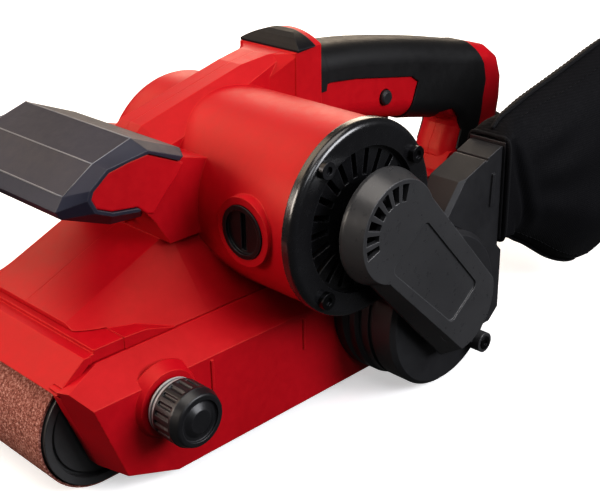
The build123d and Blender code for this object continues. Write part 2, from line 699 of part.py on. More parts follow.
with BuildPart() as housing_left:
    add(shell.part)
    split(bisect_by=Plane.XZ, keep=Keep.TOP)
keep(housing_left, "housing_left")

with BuildPart() as housing_right:
    add(shell.part)
    split(bisect_by=Plane.XZ, keep=Keep.BOTTOM)
keep(housing_right, "housing_right")

with BuildPart() as housing_screws:
    for hx, hz in neck_screws:
        disc(hx, hz, 3.4, 11.0, 8.6)
        disc(hx, hz, 1.75, 9.0, -8.5)
    for hx, hz in shroud_screws:
        disc(hx, hz, 2.8, 40.4, 38.0)
        disc(hx, hz, 1.75, 38.5, -11.5)
keep(housing_screws, "housing_screws")

# ---------------------------------------------------------------------------
# switch, trigger, lock button and cord gland
# ---------------------------------------------------------------------------
with BuildPart() as switch_module:
    block(94, 124, -6.4, 6.4, 102.5, 112.5)
    block(103, 107, -2, 2, 101.2, 103)
keep(switch_module, "switch_module")

with BuildPart() as trigger:
    soft_prism([(93.6, 100), (118.6, 95.6), (120.4, 85), (113, 81.2), (99, 85.4), (93.4, 92)], 1.4, 6.0, -6.0)
keep(trigger, "trigger")

with BuildPart() as lock_button:
    disc(lock_x, lock_z, 3.4, -9.2, -14.4)
    chamfer(lock_button.edges().filter_by(GeomType.CIRCLE).sort_by(Axis.Y)[:1], 0.8)
keep(lock_button, "lock_button")

with BuildPart() as cord_gland:
    rod_x(0, 60, 7.9, 188, 199)
    rod_x(0, 60, 10.4, 200.4, 203.0)
    rod_x(0, 60, 7.9, 198.6, 201)
    rod_x(0, 60, 6.9, 202.8, 212)
    rod_x(0, 60, 4.2, 180, 220, Mode.SUBTRACT)
keep(cord_gland, "cord_gland")

# ---------------------------------------------------------------------------
# motor
# ---------------------------------------------------------------------------
with BuildPart() as stator_core:
    disc(mx, mz, 29.2, 0, -41.4)
    disc(mx, mz, 19.2, 0, -42, Mode.SUBTRACT)
    for sgn in (1, -1):
        prism([(mx - 15.4, mz + sgn * 20.2), (mx + 15.4, mz + sgn * 20.2), (mx + 15.4, mz + sgn * 23.4),
               (mx - 15.4, mz + sgn * 23.4)], 1, -43, Mode.SUBTRACT)
keep(stator_core, "stator_core")

with BuildPart() as field_coils:
    for sgn in (1, -1):
        prism([(mx - 15.2, mz + sgn * 20.4), (mx + 15.2, mz + sgn * 20.4), (mx + 15.2, mz + sgn * 23.2),
               (mx - 15.2, mz + sgn * 23.2)], 6, -48)
        for y_hi, y_lo in ((6, 0.2), (-41.6, -48)):
            prism([(mx - 14.4, mz + sgn * 20.4), (mx + 14.4, mz + sgn * 20.4), (mx + 11, mz + sgn * 26),
                   (mx - 11, mz + sgn * 26)], y_hi, y_lo)
keep(field_coils, "field_coils")

with BuildPart() as motor_shaft:
    disc(mx, mz, shaft_r, barrel_right - 3.4, drive_y1 + 0.5)
keep(motor_shaft, "motor_shaft")

with BuildPart() as armature_core:
    disc(mx, mz, 18.4, 0, -41.4)
    disc(mx, mz, shaft_r, 1, -43, Mode.SUBTRACT)
    for k in range(12):
        a = radians(30 * k)
        disc(mx + 16.2 * cos(a), mz + 16.2 * sin(a), 1.5, 1, -43, Mode.SUBTRACT)
keep(armature_core, "armature_core")

with BuildPart() as armature_windings:
    for y_hi, y_lo in ((6, 0), (-41.4, -49)):
        disc(mx, mz, 16.4, y_hi, y_lo)
        disc(mx, mz, shaft_r, y_hi + 1, y_lo - 1, Mode.SUBTRACT)
    fillet(armature_windings.edges().filter_by(GeomType.CIRCLE).filter_by(lambda e: e.radius > 10), 2.0)
keep(armature_windings, "armature_windings")

with BuildPart() as commutator:
    disc(mx, mz, 12.0, -51, -64)
    disc(mx, mz, shaft_r, -50, -65, Mode.SUBTRACT)
    for k in range(16):
        a = radians(22.5 * k)
        disc(mx + 12.0 * cos(a), mz + 12.0 * sin(a), 0.35, -50, -65, Mode.SUBTRACT)
keep(commutator, "commutator")

with BuildPart() as fan:
    disc(mx, mz, 27.6, 17.2, 15.6)
    disc(mx, mz, 9.0, 17.2, 8.4)
    for k in range(11):
        a = 2 * pi * k / 11
        p = [on_circle(mx, mz, 8.6, a), on_circle(mx, mz, 26.8, a + 0.22), on_circle(mx, mz, 26.8, a + 0.28),
             on_circle(mx, mz, 8.6, a + 0.2)]
        prism(p, 15.8, 8.4)
    disc(mx, mz, shaft_r, 20, 6, Mode.SUBTRACT)
keep(fan, "fan")

with BuildPart() as motor_bearings:
    for y in (26.8, -66.6):
        disc(mx, mz, 11.0, y, y - 7.4)
        disc(mx, mz, shaft_r + fit, y, y - 7.4, Mode.SUBTRACT)
keep(motor_bearings, "motor_bearings")

with BuildPart() as brush_holders:
    for sgn in (-1, 1):
        x_a, x_b = mx + sgn * 33.2, mx + sgn * 13.4
        block(min(x_a, x_b), max(x_a, x_b), brush_y - 5, brush_y + 5, mz - 5.4, mz + 5.4)
        block(min(x_a, x_b) - 1, max(x_a, x_b) + 1, brush_y - 3.2, brush_y + 3.2, mz - 3.6, mz + 3.6, Mode.SUBTRACT)
keep(brush_holders, "brush_holders")

with BuildPart() as brushes:
    for sgn in (-1, 1):
        x_a, x_b = mx + sgn * 27.0, mx + sgn * 12.4
        block(min(x_a, x_b), max(x_a, x_b), brush_y - 3.0, brush_y + 3.0, mz - 3.4, mz + 3.4)
keep(brushes, "brushes")

with BuildPart() as brush_caps:
    for sgn in (-1, 1):
        x_a, x_b = mx + sgn * 33.4, mx + sgn * 38.2
        rod_x(brush_y, mz, 10.0, min(x_a, x_b), max(x_a, x_b))
        x_c, x_d = mx + sgn * 37.0, mx + sgn * 39.0
        rod_x(brush_y, mz, 8.2, min(x_c, x_d), max(x_c, x_d), Mode.SUBTRACT)
        x_e, x_f = mx + sgn * 35.6, mx + sgn * 39.0
        block(min(x_e, x_f), max(x_e, x_f), brush_y - 1.3, brush_y + 1.3, mz - 7, mz + 7, Mode.SUBTRACT)
keep(brush_caps, "brush_caps")

screw_angles = [35, 130, 229, 318]
with BuildPart() as motor_end_cover:
    disc(mx, mz, flange_r, -76, -81)
    fillet(motor_end_cover.edges().filter_by(GeomType.CIRCLE).sort_by(Axis.Y)[:1], 2.6)
    disc(mx, mz, 32.4, -70, -76.5)
    disc(mx, mz, 29.4, -69, -76, Mode.SUBTRACT)
    disc(mx, mz, 27.5, -78.4, -82, Mode.SUBTRACT)
    disc(mx, mz, 14.0, -67, -78.4)
    disc(mx, mz, 11.0, -66, -74.0, Mode.SUBTRACT)
    disc(mx, mz, 6.5, -66, -82, Mode.SUBTRACT)
    for k in range(22):
        a = 2 * pi * k / 22
        da0, da1 = 1.15 / 16.5, 1.15 / 26.0
        p = [on_circle(mx, mz, 16.5, a - da0), on_circle(mx, mz, 26.0, a - da1),
             on_circle(mx, mz, 26.0, a + da1), on_circle(mx, mz, 16.5, a + da0)]
        prism(p, -75, -79, Mode.SUBTRACT)
    for ang in screw_angles:
        a = radians(ang)
        disc(mx + 32.2 * cos(a), mz + 32.2 * sin(a), 1.8, -76, -82, Mode.SUBTRACT)
keep(motor_end_cover, "motor_end_cover")

with BuildPart() as flange_screws:
    for ang in screw_angles:
        a = radians(ang)
        sx, sz = mx + 32.2 * cos(a), mz + 32.2 * sin(a)
        disc(sx, sz, 3.2, -81, -83.2)
        disc(sx, sz, 1.8, -76.2, -81.5)
        disc(sx, sz, 1.5, -82.2, -84, Mode.SUBTRACT)
keep(flange_screws, "flange_screws")

# ---------------------------------------------------------------------------
# belt drive from motor to drum
# ---------------------------------------------------------------------------
with BuildPart() as motor_pulley:
    disc(mx, mz, pulley_m, drive_y0, drive_y1)
    disc(mx, mz, shaft_r, drive_y0 + 1, drive_y1 - 1, Mode.SUBTRACT)
keep(motor_pulley, "motor_pulley")


def tangent_loop(x1, z1, r1, x2, z2, r2, y_hi, y_lo, mode=Mode.ADD):
    p = atan2(z2 - z1, x2 - x1)
    q = asin((r2 - r1) / sqrt((x2 - x1) ** 2 + (z2 - z1) ** 2))
    up, lo = p + pi / 2 + q, p - pi / 2 - q
    with BuildSketch(xz(y_hi)) as s:
        with BuildLine():
            Line(on_circle(x1, z1, r1, lo), on_circle(x2, z2, r2, lo))
            ThreePointArc(on_circle(x2, z2, r2, lo), on_circle(x2, z2, r2, p), on_circle(x2, z2, r2, up))
            Line(on_circle(x2, z2, r2, up), on_circle(x1, z1, r1, up))
            ThreePointArc(on_circle(x1, z1, r1, up), on_circle(x1, z1, r1, p + pi), on_circle(x1, z1, r1, lo))
        make_face()
    return extrude(s.sketch, amount=y_hi - y_lo, mode=mode)


with BuildPart() as drive_belt:
    tangent_loop(mx, mz, pulley_m + 2.5, csx, csz, pulley_c + 2.5, drive_y0 - 1, drive_y1 + 1)
    tangent_loop(mx, mz, pulley_m + 0.4, csx, csz, pulley_c + 0.4, drive_y0, drive_y1, Mode.SUBTRACT)
keep(drive_belt, "drive_belt")

ring1 = (66.5, 38.5, 36.4)
ring_mid = (66.8, 36.0, 34.4)
ring2 = (67.0, 34.6, 32.4)
neck_up, neck_lo = 13.4, 17.4      # foot of the drive cover round the two pulleys
lobes = [(85.7, 14.4)]
with BuildPart() as drive_housing:
    disc(*ring1, skirt_y, -63)
    chamfer(drive_housing.edges().filter_by(GeomType.CIRCLE).sort_by(Axis.Y)[:1], 1.6)
    disc(*ring_mid, -62, -67)
    chamfer(drive_housing.edges().filter_by(GeomType.CIRCLE).sort_by(Axis.Y)[:1], 1.2)
    disc(*ring2, -62, -84)
    chamfer(drive_housing.edges().filter_by(GeomType.CIRCLE).sort_by(Axis.Y)[:1], 1.8)
    # shallow groove round the drum of the housing
    with BuildSketch(xz(-71)) as gr:
        with Locations((ring2[0], ring2[1])):
            Circle(ring2[2] + 1)
            Circle(ring2[2] - 1.0, mode=Mode.SUBTRACT)
    extrude(gr.sketch, amount=2.0, mode=Mode.SUBTRACT)
    tangent_loop(mx, mz, neck_up, csx, csz, neck_lo, -81.6, -84)
    disc(ring2[0], ring2[1], 29.4, -61, -79.6, Mode.SUBTRACT)
    disc(mx, mz, flange_r + 0.6, -50, -81.6, Mode.SUBTRACT)
    disc(mx, mz, 6.5, -80, -85, Mode.SUBTRACT)
    disc(xr, zr, shaft_r + 1.0, -50, -70, Mode.SUBTRACT)
    disc(csx, csz, 6.5, -50, -85, Mode.SUBTRACT)
    rod_x(brush_y, mz, 13.6, 40, 64, Mode.SUBTRACT)
    # heads of the flange screws
    for ang in screw_angles:
        a = radians(ang)
        disc(mx + 32.2 * cos(a), mz + 32.2 * sin(a), 3.6, -80, -86, Mode.SUBTRACT)
    for cx, cz in lobes:
        disc(cx, cz, 1.6, -79, -85, Mode.SUBTRACT)
keep(drive_housing, "drive_housing")

vent_angles = [radians(81 + 18.7 * k) for k in range(7)]


def cover_outline(y, rm, left, dl, cx, cz, rc, right, dr):
    # round head, two straight sides leaning a little, and a round foot
    nl, nr = (cos(radians(left)), sin(radians(left))), (cos(radians(right)), sin(radians(right)))
    tl, tr = (nl[1], -nl[0]), (nr[1], -nr[0])
    vx, vz = cx - mx, cz - mz
    a0 = sqrt(rm * rm - dl * dl)
    a1 = vx * tl[0] + vz * tl[1] + sqrt(rc * rc - (vx * nl[0] + vz * nl[1] + dl) ** 2)
    b0 = sqrt(rm * rm - dr * dr)
    b1 = vx * tr[0] + vz * tr[1] + sqrt(rc * rc - (dr - vx * nr[0] - vz * nr[1]) ** 2)
    l0 = (mx - dl * nl[0] + a0 * tl[0], mz - dl * nl[1] + a0 * tl[1])
    l1 = (mx - dl * nl[0] + a1 * tl[0], mz - dl * nl[1] + a1 * tl[1])
    r0 = (mx + dr * nr[0] + b0 * tr[0], mz + dr * nr[1] + b0 * tr[1])
    r1 = (mx + dr * nr[0] + b1 * tr[0], mz + dr * nr[1] + b1 * tr[1])
    v = sqrt(vx * vx + vz * vz)
    with BuildSketch(xz(y)) as s:
        with BuildLine():
            Line(l0, l1)
            ThreePointArc(l1, (cx + rc * vx / v, cz + rc * vz / v), r1)
            Line(r1, r0)
            ThreePointArc(r0, (mx - rm * vx / v, mz - rm * vz / v), l0)
        make_face()
    return s.sketch


cover_base = (21.8, 43.1, 19.0, csx, csz, 22.5, 41.4, 20.8)
cover_top = (19.2, 45.4, 16.6, 59.4, 44.2, 20.0, 41.4, 18.4)
with BuildPart() as drive_cover:
    extrude(cover_outline(-88.6, *cover_base), amount=1.4)
    loft([cover_outline(-90.0, *cover_base), cover_outline(-97.5, *cover_top)], ruled=True)
    tangent_loop(mx, mz, neck_up, csx, csz, neck_lo, -84, -89)
    for cx, cz in lobes:
        disc(cx, cz, 4.3, -84, -90.4)
        a = atan2(cz - csz, cx - csx)
        n = a + pi / 2
        w = 3.0
        prism([on_circle(csx, csz, 15.6, a - w / 15.0), on_circle(cx, cz, w, n + pi), on_circle(cx, cz, w, n),
               on_circle(csx, csz, 15.6, a + w / 15.0)], -84, -87.0)
    # notched cooling rim round the foot
    for k in range(9):
        a = radians(-80 + 11.5 * k)
        p = [on_circle(csx, csz, 19.4, a - 0.05), on_circle(csx, csz, 24.5, a - 0.045),
             on_circle(csx, csz, 24.5, a + 0.045), on_circle(csx, csz, 19.4, a + 0.05)]
        prism(p, -86, -95.0, Mode.SUBTRACT)
    tangent_loop(mx, mz, neck_up - 2.8, csx, csz, neck_lo - 2.4, -83, -95.4, Mode.SUBTRACT)
    disc(mx, mz, 17.0, -91.0, -95.4, Mode.SUBTRACT)
    # fan of vent slots round the head
    for a in vent_angles:
        da0, da1 = 1.1 / 11.2, 1.8 / 17.6
        p = [on_circle(mx, mz, 11.2, a - da0), on_circle(mx, mz, 17.6, a - da1),
             on_circle(mx, mz, 17.6, a + da1), on_circle(mx, mz, 11.2, a + da0)]
        prism(p, -94, -102, Mode.SUBTRACT)
    # bare recessed panel along the arm
    soft_prism([(36.0, 86.4), (17.4, 72.4), (53.4, 38.6), (68.6, 50.0)], 2.6, -96.8, -99, Mode.SUBTRACT)
    for cx, cz in lobes:
        disc(cx, cz, 1.6, -83, -95, Mode.SUBTRACT)
        disc(cx, cz, 2.9, -89.2, -95, Mode.SUBTRACT)
keep(drive_cover, "drive_cover")

with BuildPart() as drive_cover_screws:
    for cx, cz in lobes:
        disc(cx, cz, 2.8, -89.2, -90.9)
        disc(cx, cz, 1.6, -79.4, -89.6)
        disc(cx, cz, 1.2, -90.2, -93, Mode.SUBTRACT)
keep(drive_cover_screws, "drive_cover_screws")

# ---------------------------------------------------------------------------
# dust duct and bag
# ---------------------------------------------------------------------------
duct_pts = [(75, 69.9), (84.5, 81.6), (109.5, 90.4), (111, 90.4), (111, 46.2), (114, 43), (114, 16), (108, 11), (96, 11),
            (84, 40)]
duct_void = [(79.6, 69), (86.5, 79.0), (109.5, 87.4), (112, 87.4), (112, 53), (108.5, 50), (111.4, 42), (111.4, 18),
             (107, 14), (99, 14), (88, 40)]
with BuildPart() as dust_duct:
    prism(duct_pts, -60, -76)
    chamfer([e for e in dust_duct.edges() if abs(e.center().Y + 76) < 0.01 and abs(e.center().X - 79.75) < 0.3
             and abs(e.center().Z - 75.75) < 0.3], 1.7)
    # joint line across the top and a latch rib on the side
    prism([(100.2, 86.3), (101.4, 86.7), (101.4, 90), (100.2, 90)], -59, -77, Mode.SUBTRACT)
    prism([(103.6, 66), (105.6, 66), (106.4, 80), (104.4, 80)], -75, -76.8)
    block(110.5, 118, -75, -61, 51, 89.4)
    block(101.8, 112.6, -61, -45.8, 18, 45)
    prism(duct_void, -62.2, -73.8, Mode.SUBTRACT)
    block(108, 119, -73.0, -63.0, 53, 87.4, Mode.SUBTRACT)
    block(103.8, 110.6, -65, -45, 20, 43, Mode.SUBTRACT)
    disc(ring2[0], ring2[1], ring2[2] + 0.2, -59, -77, Mode.SUBTRACT)
    disc(ring1[0], ring1[1], ring1[2] + 0.2, -50, -63.2, Mode.SUBTRACT)
    disc(ring_mid[0], ring_mid[1], ring_mid[2] + 0.2, -50, -67.2, Mode.SUBTRACT)
    disc(mx, mz, flange_r + 0.8, -50, -85, Mode.SUBTRACT)
    prism([(-90, 0), (100.3, 0), (100.3, 54), (-90, 54)], -40, -57.2, Mode.SUBTRACT)
keep(dust_duct, "dust_duct")

with BuildPart() as bag_collar:
    block(111.6, 121.0, -77.0, -59.0, 48.8, 91.8)
    block(111, 123, -75.4, -60.6, 50.6, 89.8, Mode.SUBTRACT)
keep(bag_collar, "bag_collar")


def bag_section(x, yc, zc, hw, hh, r):
    with BuildSketch(yz(x)) as s:
        with Locations((yc, zc)):
            RectangleRounded(2 * hw, 2 * hh, r)
    return s.sketch


bag_rows = [(111.8, -68.0, 70.3, 10.4, 23.1, 2.0), (119.5, -68.0, 71.0, 13.0, 28.0, 4.0), (143.0, -67.0, 69.7, 18.0, 35.0, 12.0),
            (166.0, -66.0, 64.9, 21.0, 44.0, 15.0), (190.0, -66.0, 62.5, 22.0, 51.5, 16.0), (214.0, -66.0, 69.0, 22.0, 51.3, 16.0),
            (245.0, -66.0, 77.0, 18.0, 46.0, 13.0), (268.0, -66.0, 82.0, 7.0, 41.0, 5.0)]
with BuildPart() as dust_bag:
    loft([bag_section(*row) for row in bag_rows])
    loft([bag_section(x, yc, zc, hw - 1.6, hh - 1.6, r - 1.0) for x, yc, zc, hw, hh, r in bag_rows[1:-1]],
         mode=Mode.SUBTRACT)
    block(111, 121.1, -77.05, -58.95, 48.75, 91.85, Mode.SUBTRACT)
keep(dust_bag, "dust_bag")

with BuildPart() as bag_rail:
    block(268.0, 272.0, -69.0, -63.0, 42.0, 122.0)
keep(bag_rail, "bag_rail")
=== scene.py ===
import bpy, bmesh, json
from math import sin, cos, pi, radians, sqrt, atan2
from mathutils import Vector, Matrix, noise


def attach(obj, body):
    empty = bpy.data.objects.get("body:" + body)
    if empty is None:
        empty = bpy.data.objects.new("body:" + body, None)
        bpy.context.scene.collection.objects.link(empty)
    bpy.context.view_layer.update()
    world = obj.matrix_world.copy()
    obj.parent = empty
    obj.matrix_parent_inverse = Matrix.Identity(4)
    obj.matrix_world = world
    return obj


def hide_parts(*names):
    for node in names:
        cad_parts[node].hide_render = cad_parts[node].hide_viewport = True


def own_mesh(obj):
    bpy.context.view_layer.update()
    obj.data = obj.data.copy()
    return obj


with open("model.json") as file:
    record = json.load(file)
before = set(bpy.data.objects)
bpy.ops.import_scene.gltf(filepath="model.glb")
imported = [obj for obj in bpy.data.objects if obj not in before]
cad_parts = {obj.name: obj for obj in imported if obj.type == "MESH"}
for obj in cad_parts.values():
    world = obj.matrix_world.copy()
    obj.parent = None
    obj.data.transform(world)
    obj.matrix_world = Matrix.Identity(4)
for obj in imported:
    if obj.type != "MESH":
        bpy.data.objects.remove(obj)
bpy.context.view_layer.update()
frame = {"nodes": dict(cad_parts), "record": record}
scene = bpy.context.scene
nodes = frame["nodes"]
MM = 0.001


# ---------------------------------------------------------------------------
# camera: the photograph's viewpoint
# ---------------------------------------------------------------------------
def make_camera():
    az, el, roll = radians(-44.555), radians(24.037), radians(-0.992)
    back = Vector((sin(az) * cos(el), -cos(az) * cos(el), sin(el)))
    right = (-back).cross(Vector((0, 0, 1))).normalized()
    up = right.cross(-back)
    r = right * cos(roll) + up * sin(roll)
    u = -right * sin(roll) + up * cos(roll)
    pos = Vector((48.454, -20.0, 47.139)) * MM + back * 480.315 * MM
    data = bpy.data.cameras.new("photo_camera")
    data.sensor_fit = "HORIZONTAL"
    data.sensor_width = 36.0
    data.lens = 1136.743 / 600 * 36.0
    data.clip_start = 0.01
    data.clip_end = 20
    cam = bpy.data.objects.new("photo_camera", data)
    m = Matrix((r, u, back)).transposed().to_4x4()
    m.translation = pos
    cam.matrix_world = m
    scene.collection.objects.link(cam)
    scene.camera = cam


make_camera()


# ---------------------------------------------------------------------------
# materials
# ---------------------------------------------------------------------------
def new_mat(name):
    m = bpy.data.materials.new(name)
    m.use_nodes = True
    nt = m.node_tree
    nt.nodes.clear()
    out = nt.nodes.new("ShaderNodeOutputMaterial")
    b = nt.nodes.new("ShaderNodeBsdfPrincipled")
    nt.links.new(b.outputs["BSDF"], out.inputs["Surface"])
    tc = nt.nodes.new("ShaderNodeTexCoord")
    return m, nt, b, tc


def noise_node(nt, vec, scale, detail=3.0, rough=0.55):
    n = nt.nodes.new("ShaderNodeTexNoise")
    n.inputs["Scale"].default_value = scale
    n.inputs["Detail"].default_value = detail
    n.inputs["Roughness"].default_value = rough
    nt.links.new(vec, n.inputs["Vector"])
    return n.outputs["Fac"]


def ramp(nt, fac, stops):
    r = nt.nodes.new("ShaderNodeValToRGB")
    e = r.color_ramp.elements
    while len(e) < len(stops):
        e.new(0.5)
    for i, (p, c) in enumerate(stops):
        e[i].position = p
        e[i].color = (*c, 1.0)
    nt.links.new(fac, r.inputs["Fac"])
    return r.outputs["Color"]


def remap(nt, fac, lo, hi, f0=0.3, f1=0.7):
    r = nt.nodes.new("ShaderNodeMapRange")
    r.inputs["From Min"].default_value = f0
    r.inputs["From Max"].default_value = f1
    r.inputs["To Min"].default_value = lo
    r.inputs["To Max"].default_value = hi
    nt.links.new(fac, r.inputs["Value"])
    return r.outputs["Result"]


def bump(nt, height, strength, distance, below=None):
    b = nt.nodes.new("ShaderNodeBump")
    b.inputs["Strength"].default_value = strength
    b.inputs["Distance"].default_value = distance
    nt.links.new(height, b.inputs["Height"])
    if below is not None:
        nt.links.new(below, b.inputs["Normal"])
    return b.outputs["Normal"]


def mixcol(nt, fac, a, b, blend="MIX"):
    m = nt.nodes.new("ShaderNodeMix")
    m.data_type = "RGBA"
    m.blend_type = blend
    if isinstance(fac, (int, float)):
        m.inputs[0].default_value = fac
    else:
        nt.links.new(fac, m.inputs[0])
    for sock, v in ((m.inputs[6], a), (m.inputs[7], b)):
        if isinstance(v, tuple):
            sock.default_value = (*v, 1.0)
        else:
            nt.links.new(v, sock)
    return m.outputs[2]


def soft_edges(nt, radius):
    bv = nt.nodes.new("ShaderNodeBevel")
    bv.samples = 6
    bv.inputs["Radius"].default_value = radius
    return bv.outputs["Normal"]


def edge_mask(nt, rounded, reach=0.10):
    geo = nt.nodes.new("ShaderNodeNewGeometry")
    dot = nt.nodes.new("ShaderNodeVectorMath")
    dot.operation = "DOT_PRODUCT"
    nt.links.new(rounded, dot.inputs[0])
    nt.links.new(geo.outputs["Normal"], dot.inputs[1])
    return remap(nt, dot.outputs["Value"], 1.0, 0.0, 1.0 - reach, 0.995)


def math(nt, op, a, b=None):
    m = nt.nodes.new("ShaderNodeMath")
    m.operation = op
    for sock, v in ((m.inputs[0], a), (m.inputs[1], b)):
        if v is None:
            continue
        if isinstance(v, (int, float)):
            sock.default_value = v
        else:
            nt.links.new(v, sock)
    return m.outputs[0]


def axis_value(nt, tc, axis):
    sep = nt.nodes.new("ShaderNodeSeparateXYZ")
    nt.links.new(tc.outputs["Object"], sep.inputs[0])
    return sep.outputs[axis]


def band(nt, value, lo, hi, soft=0.00008):
    a = remap(nt, value, 0.0, 1.0, lo - soft, lo + soft)
    b = remap(nt, value, 1.0, 0.0, hi - soft, hi + soft)
    return math(nt, "MULTIPLY", a, b)


def plastic(name, dark, light, rough=(0.38, 0.48), grain=1400, grain_strength=0.12, grain_depth=0.00006,
            coat=0.0, coat_rough=0.2, spec=0.5, tint=(1, 1, 1), edge=None, round_r=0.0006, rings=None):
    m, nt, b, tc = new_mat(name)
    obj = tc.outputs["Object"]
    broad = noise_node(nt, obj, 22, 2)
    fine = noise_node(nt, obj, grain, 2, 0.6)
    specks = noise_node(nt, obj, 260, 4, 0.7)
    col = ramp(nt, broad, [(0.35, dark), (0.65, light)])
    mott = ramp(nt, specks, [(0.3, (0.90, 0.90, 0.90)), (0.7, (1.0, 1.0, 1.0))])
    col = mixcol(nt, 1.0, col, mott, "MULTIPLY")
    rounded = soft_edges(nt, round_r)
    if edge is not None:
        # painted highlight and wear: a lighter edge colour is mixed in along rounded edges, standing in partly for
        # light caught on the edges and partly for rubbed edges
        wear_and_highlight = math(nt, "MULTIPLY", edge_mask(nt, rounded), remap(nt, specks, 0.35, 1.0))
        col = mixcol(nt, wear_and_highlight, col, edge)
    if rings is not None:
        y = axis_value(nt, tc, 1)
        for lo, hi, shade_of in rings:
            fac = math(nt, "MULTIPLY", band(nt, y, lo, hi), remap(nt, specks, 0.72, 1.0))
            col = mixcol(nt, fac, col, shade_of)
    nt.links.new(col, b.inputs["Base Color"])
    nt.links.new(remap(nt, specks, rough[0], rough[1]), b.inputs["Roughness"])
    nt.links.new(bump(nt, fine, grain_strength, grain_depth, rounded), b.inputs["Normal"])
    b.inputs["Specular IOR Level"].default_value = spec
    b.inputs["Specular Tint"].default_value = (*tint, 1.0)
    b.inputs["Coat Weight"].default_value = coat
    b.inputs["Coat Roughness"].default_value = coat_rough
    return m


def metal(name, dark, light, rough=(0.25, 0.4), stretch=(1, 1, 1), scale=400, round_r=0.0003):
    m, nt, b, tc = new_mat(name)
    mp = nt.nodes.new("ShaderNodeMapping")
    mp.inputs["Scale"].default_value = stretch
    nt.links.new(tc.outputs["Object"], mp.inputs["Vector"])
    n = noise_node(nt, mp.outputs["Vector"], scale, 4, 0.6)
    broad = noise_node(nt, tc.outputs["Object"], 60, 2)
    nt.links.new(ramp(nt, broad, [(0.3, dark), (0.7, light)]), b.inputs["Base Color"])
    nt.links.new(remap(nt, n, rough[0], rough[1]), b.inputs["Roughness"])
    nt.links.new(bump(nt, n, 0.12, 0.00005, soft_edges(nt, round_r)), b.inputs["Normal"])
    b.inputs["Metallic"].default_value = 1.0
    return m


def abrasive(name):
    m, nt, b, tc = new_mat(name)
    obj = tc.outputs["Object"]
    v = nt.nodes.new("ShaderNodeTexVoronoi")
    v.inputs["Scale"].default_value = 1500
    nt.links.new(obj, v.inputs["Vector"])
    grains = v.outputs["Distance"]
    tint = noise_node(nt, obj, 1100, 3, 0.7)
    broad = noise_node(nt, obj, 40, 3)
    c1 = ramp(nt, tint, [(0.28, (0.085, 0.026, 0.018)), (0.5, (0.33, 0.115, 0.086)), (0.72, (0.74, 0.43, 0.36))])
    c2 = ramp(nt, broad, [(0.3, (0.86, 0.82, 0.82)), (0.7, (1.0, 1.0, 1.0))])
    nt.links.new(mixcol(nt, 1.0, c1, c2, "MULTIPLY"), b.inputs["Base Color"])
    b.inputs["Roughness"].default_value = 0.85
    b.inputs["Specular IOR Level"].default_value = 0.25
    nt.links.new(bump(nt, tint, 0.5, 0.0003, bump(nt, grains, 0.7, 0.0004)), b.inputs["Normal"])
    return m


def cloth(name, dark=(0.0030, 0.0030, 0.0040), light=(0.0078, 0.0075, 0.0098)):
    m, nt, b, tc = new_mat(name)
    obj = tc.outputs["Object"]
    heights = []
    for axis in ("X", "Z"):
        w = nt.nodes.new("ShaderNodeTexWave")
        w.wave_type = "BANDS"
        w.bands_direction = axis
        w.inputs["Scale"].default_value = 330
        w.inputs["Distortion"].default_value = 0.3
        nt.links.new(obj, w.inputs["Vector"])
        heights.append(w.outputs["Fac"])
    weave = math(nt, "MULTIPLY", heights[0], heights[1])
    broad = noise_node(nt, tc.outputs["Object"], 34, 3)
    fuzz = noise_node(nt, tc.outputs["Object"], 700, 3, 0.7)
    c1 = ramp(nt, weave, [(0.1, dark), (0.8, light)])
    c2 = ramp(nt, broad, [(0.3, (0.72, 0.72, 0.75)), (0.7, (1.0, 1.0, 1.0))])
    nt.links.new(mixcol(nt, 1.0, c1, c2, "MULTIPLY"), b.inputs["Base Color"])
    nt.links.new(remap(nt, fuzz, 0.66, 0.86), b.inputs["Roughness"])
    b.inputs["Specular IOR Level"].default_value = 0.14
    b.inputs["Sheen Weight"].default_value = 0.02
    b.inputs["Sheen Roughness"].default_value = 0.4
    nt.links.new(bump(nt, weave, 0.35, 0.00025, bump(nt, fuzz, 0.12, 0.0004)), b.inputs["Normal"])
    return m


M = {}
M["red_plastic"] = plastic("red_plastic", (0.44, 0.003, 0.012), (0.50, 0.004, 0.015), rough=(0.40, 0.50), grain=1100,
                           grain_strength=0.06, spec=0.5, tint=(1.0, 0.50, 0.30), round_r=0.0006, edge=(0.62, 0.022, 0.020))
M["black_plastic"] = plastic("black_plastic", (0.019, 0.019, 0.021), (0.027, 0.027, 0.029), rough=(0.34, 0.46), grain=1500,
                             grain_strength=0.20, spec=0.45, edge=(0.050, 0.050, 0.055))
M["gloss_black"] = plastic("gloss_black", (0.003, 0.003, 0.004), (0.006, 0.006, 0.007), rough=(0.14, 0.22), grain=600,
                           grain_strength=0.03, coat=0.3, coat_rough=0.06, edge=(0.02, 0.02, 0.022))
M["knob_plastic"] = plastic("knob_plastic", (0.010, 0.010, 0.011), (0.015, 0.015, 0.0165), rough=(0.28, 0.40), grain=1300,
                            grain_strength=0.1, edge=(0.05, 0.05, 0.055),
                            rings=[(-0.0611, -0.0602, (0.50, 0.50, 0.50)), (-0.0628, -0.0619, (0.50, 0.50, 0.50))])
M["roller_plastic"] = plastic("roller_plastic", (0.055, 0.055, 0.056), (0.075, 0.075, 0.076), rough=(0.34, 0.46), grain=900,
                              edge=(0.03, 0.03, 0.03))
M["soft_grip"] = plastic("soft_grip", (0.0065, 0.0065, 0.007), (0.010, 0.010, 0.0105), rough=(0.46, 0.58), grain=1900,
                         grain_strength=0.25, spec=0.32, edge=(0.020, 0.020, 0.021))
# painted highlight: pale grey colour for the beads that stand in for the light caught along the front grip's creases
M["grip_highlight_beads"] = plastic("grip_highlight_beads", (0.17, 0.17, 0.185), (0.21, 0.21, 0.225), rough=(0.42, 0.52))
